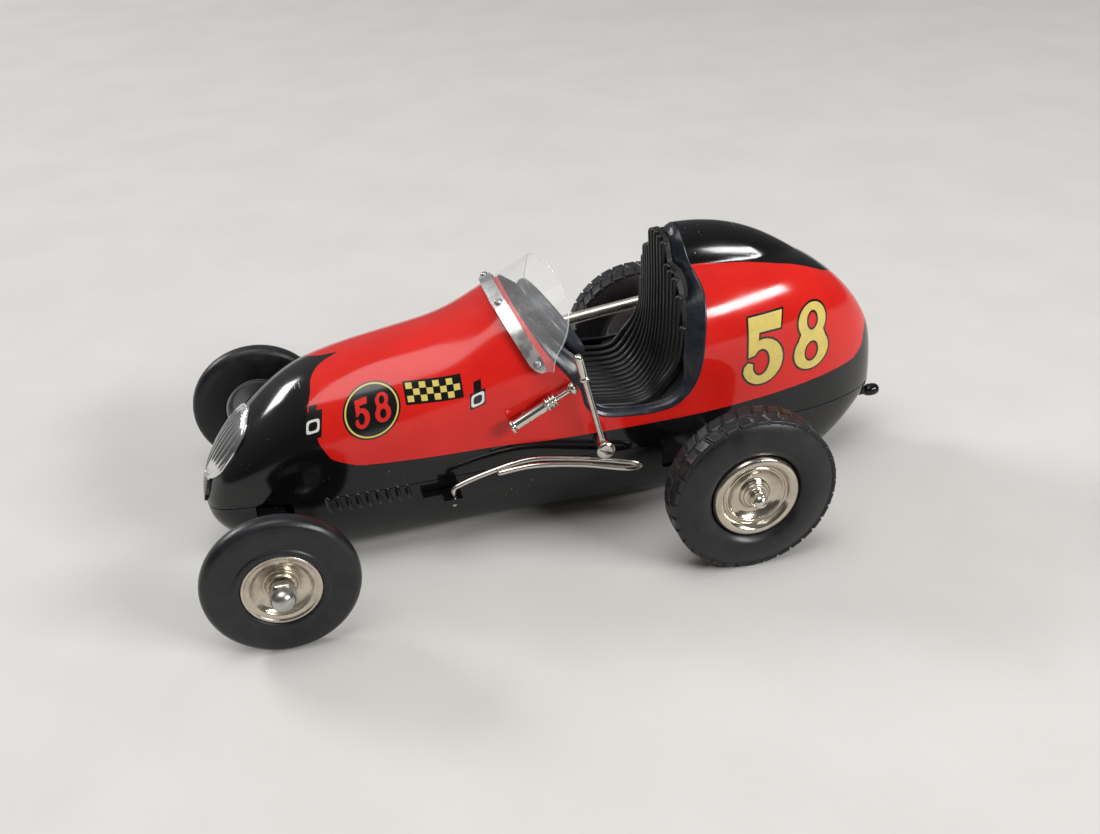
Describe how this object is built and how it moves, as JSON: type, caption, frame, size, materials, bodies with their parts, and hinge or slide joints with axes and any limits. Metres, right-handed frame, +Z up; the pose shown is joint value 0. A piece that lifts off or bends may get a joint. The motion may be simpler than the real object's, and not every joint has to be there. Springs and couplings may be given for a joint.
{
  "type": "toy racing car",
  "caption": "Tin midget racing car with an open cockpit, moulded seat, clear screen, hand lever, side exhaust and a flywheel friction drive geared to the rear axle.",
  "frame": {"origin": "on the ground under the middle of the car, halfway along its length and width", "axes": "+X towards the tail and -X towards the nose, -Y towards the car's left side, +Z up"},
  "size_m": [0.258, 0.143, 0.0994],
  "materials": {
    "red_enamel": "glossy stove enamel, red over the sides and top, black below and over the headrest",
    "black_enamel": "glossy black stove enamel with fine dust and scratches",
    "coaming_enamel": "semi-gloss dark blue-grey",
    "nickel_plate": "polished nickel plate with a warm tint and fine turning rings",
    "polished_aluminium": "polished aluminium strip",
    "steel": "plain zinc-plated steel",
    "brass": "satin brass",
    "tyre_rubber": "semi-matt moulded rubber, charcoal",
    "seat_rubber": "ribbed moulded black rubber with a low sheen",
    "dark_plastic": "dark grey moulded plastic",
    "clear_sheet": "thin clear acetate sheet with light scuffs"
  },
  "bodies": {
    "car": {"body_shell": "red_enamel", "body_pan": "black_enamel", "pan_screw_front": "steel", "pan_screw_rear": "steel", "cockpit_coaming": "coaming_enamel", "grille": "nickel_plate", "dashboard": "black_enamel", "steering_column": "nickel_plate", "windscreen": "clear_sheet", "windscreen_strip": "polished_aluminium", "windscreen_rivet_1": "nickel_plate", "windscreen_rivet_2": "nickel_plate", "windscreen_rivet_3": "nickel_plate", "windscreen_rivet_4": "nickel_plate", "seat": "seat_rubber", "front_axle_beam": "black_enamel", "front_left_stub_axle": "steel", "front_left_axle_nut": "nickel_plate", "front_right_stub_axle": "steel", "front_right_axle_nut": "nickel_plate", "drive_plate_left": "steel", "drive_plate_right": "steel", "drive_pillar_1": "brass", "drive_pillar_2": "brass", "drive_pillar_3": "brass", "lever_screw": "nickel_plate", "pump_barrel": "nickel_plate", "pump_stud": "nickel_plate", "bridle_bracket": "black_enamel", "exhaust_pipe": "nickel_plate", "exhaust_stud": "nickel_plate", "tail_screw": "black_enamel"},
    "front_left_wheel": {"front_left_tyre": "tyre_rubber", "front_left_disc": "nickel_plate", "front_left_back_disc": "steel"},
    "front_right_wheel": {"front_right_tyre": "tyre_rubber", "front_right_disc": "nickel_plate", "front_right_back_disc": "steel"},
    "rear_axle_assembly": {"rear_axle": "steel", "axle_gear": "brass", "rear_left_tyre": "tyre_rubber", "rear_left_disc": "nickel_plate", "rear_left_back_disc": "steel", "rear_left_axle_nut": "nickel_plate", "rear_right_tyre": "tyre_rubber", "rear_right_disc": "nickel_plate", "rear_right_back_disc": "steel", "rear_right_axle_nut": "nickel_plate"},
    "counter_gears": {"countershaft": "brass"},
    "flywheel_assembly": {"flywheel_shaft": "steel", "flywheel": "steel"},
    "steering": {"steering_wheel": "dark_plastic"},
    "lever": {"hand_lever": "nickel_plate"},
    "plunger": {"pump_plunger": "nickel_plate"},
    "bridle": {"bridle_wire": "nickel_plate"}
  },
  "joints": [
    {"name": "front_left_wheel_spin", "type": "hinge", "parent": "car", "child": "front_left_wheel", "pos_m": [-0.104, -0.0585, 0.025], "axis": [0, 1, 0], "continuous": true},
    {"name": "front_right_wheel_spin", "type": "hinge", "parent": "car", "child": "front_right_wheel", "pos_m": [-0.104, 0.0585, 0.025], "axis": [0, 1, 0], "continuous": true},
    {"name": "rear_axle_spin", "type": "hinge", "parent": "car", "child": "rear_axle_assembly", "pos_m": [0.0505, 0, 0.0285], "axis": [0, 1, 0], "continuous": true},
    {"name": "countershaft_spin", "type": "hinge", "parent": "car", "child": "counter_gears", "pos_m": [0.0361, 0, 0.0254], "axis": [0, 1, 0], "continuous": true},
    {"name": "flywheel_spin", "type": "hinge", "parent": "car", "child": "flywheel_assembly", "pos_m": [0.0243, 0, 0.0233], "axis": [0, 1, 0], "continuous": true},
    {"name": "steering_wheel_turn", "type": "hinge", "parent": "car", "child": "steering", "pos_m": [0.0004, 0, 0.0717], "axis": [0.8141, 0, 0.5807], "continuous": true},
    {"name": "hand_lever_pivot", "type": "hinge", "parent": "car", "child": "lever", "pos_m": [0.0084, -0.0346, 0.037], "axis": [0, 1, 0], "range_deg": [-18, 18]},
    {"name": "pump_plunger_slide", "type": "slide", "parent": "car", "child": "plunger", "axis": [0.8921, 0, 0.4519], "range_m": [0, 0.006]},
    {"name": "bridle_swing", "type": "hinge", "parent": "car", "child": "bridle", "pos_m": [-0.044, -0.0314, 0.0268], "axis": [0, 0, -1], "range_deg": [0, 95]}
  ],
  "couplings": [
    {"joint": "countershaft_spin", "follows": "rear_axle_spin", "ratio": -2.4},
    {"joint": "flywheel_spin", "follows": "rear_axle_spin", "ratio": 5.76}
  ]
}
